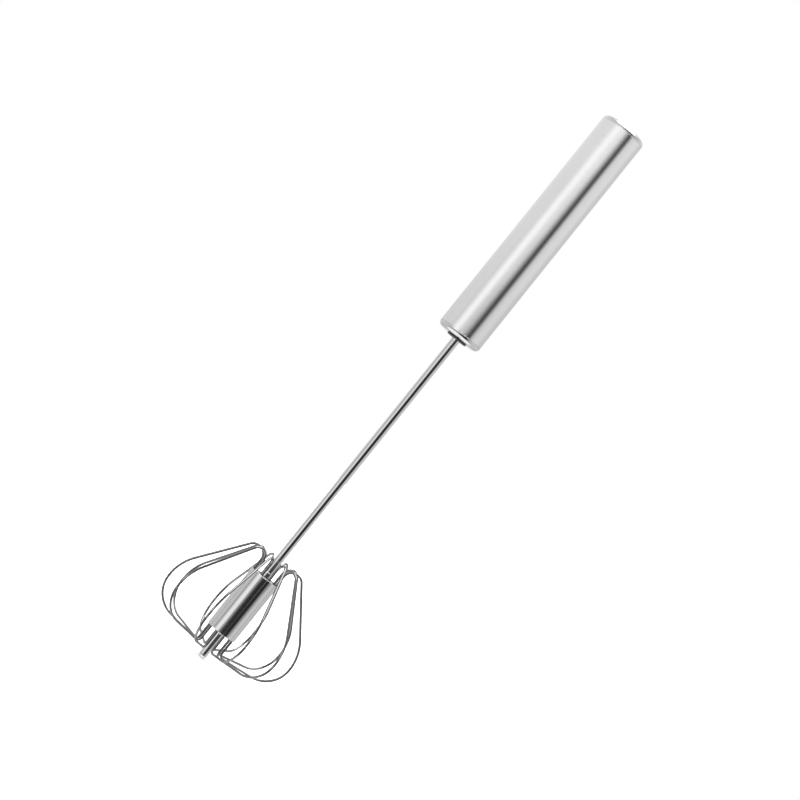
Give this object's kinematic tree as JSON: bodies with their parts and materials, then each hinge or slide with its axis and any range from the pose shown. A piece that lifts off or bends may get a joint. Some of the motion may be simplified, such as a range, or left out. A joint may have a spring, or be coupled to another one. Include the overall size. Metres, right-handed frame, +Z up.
{
  "type": "push-down rotary whisk",
  "caption": "Push-down hand whisk: pressing the brushed steel handle spins a cage of wire loops on a thin polished shaft, and a spring lifts the handle again.",
  "frame": {"origin": "rounded tip of the shaft, below the wire cage, on the shaft's axis", "axes": "+Z up the shaft to the handle; +X through the first wire loop"},
  "size_m": [0.0698, 0.0662, 0.3038],
  "materials": {
    "brushed_steel": "fine straight brushing along the tube",
    "polished_steel": "mirror-polished stainless steel",
    "wire_steel": "bright drawn stainless wire, a little darker than the polished parts",
    "spring_steel": "drawn spring steel",
    "strip_steel": "cold-twisted flat steel strip, lightly greased",
    "black_acetal": "smooth moulded black acetal",
    "white_nylon": "moulded natural nylon",
    "black_rubber": "soft matt rubber",
    "brass": "turned brass",
    "cast_alloy": "as cast, satin"
  },
  "bodies": {
    "handle": {"handle_tube": "brushed_steel", "top_cap": "brushed_steel", "bottom_cap": "polished_steel", "shaft_bush": "black_acetal", "bush_clip": "spring_steel", "stop_washer": "black_rubber", "strip_holder": "white_nylon", "strip_pin": "spring_steel", "twisted_strip": "strip_steel", "return_spring": "spring_steel"},
    "guide": {"guide_piston": "white_nylon", "thrust_washer": "brass"},
    "whisk": {"drive_nut": "white_nylon", "shaft_tube": "polished_steel", "upper_collar": "polished_steel", "lower_collar": "polished_steel", "hub_core": "cast_alloy", "hub_sleeve": "polished_steel", "wire_01": "wire_steel", "wire_02": "wire_steel", "wire_03": "wire_steel", "wire_04": "wire_steel", "wire_05": "wire_steel", "wire_06": "wire_steel", "wire_07": "wire_steel", "wire_08": "wire_steel", "wire_09": "wire_steel", "wire_10": "wire_steel"}
  },
  "joints": [
    {"name": "push", "type": "slide", "parent": "handle", "child": "guide", "axis": [0, 0, 1], "range_m": [0, 0.06], "stiffness_N_per_m": 49, "springref_m": -0.02, "deforming": ["return_spring"]},
    {"name": "spin", "type": "hinge", "parent": "guide", "child": "whisk", "pos_m": [0, 0, 0], "axis": [0, 0, 1], "range_deg": [0, 720.1]}
  ],
  "couplings": [
    {"joint": "spin", "follows": "push", "rad_per_m": 209.44}
  ]
}
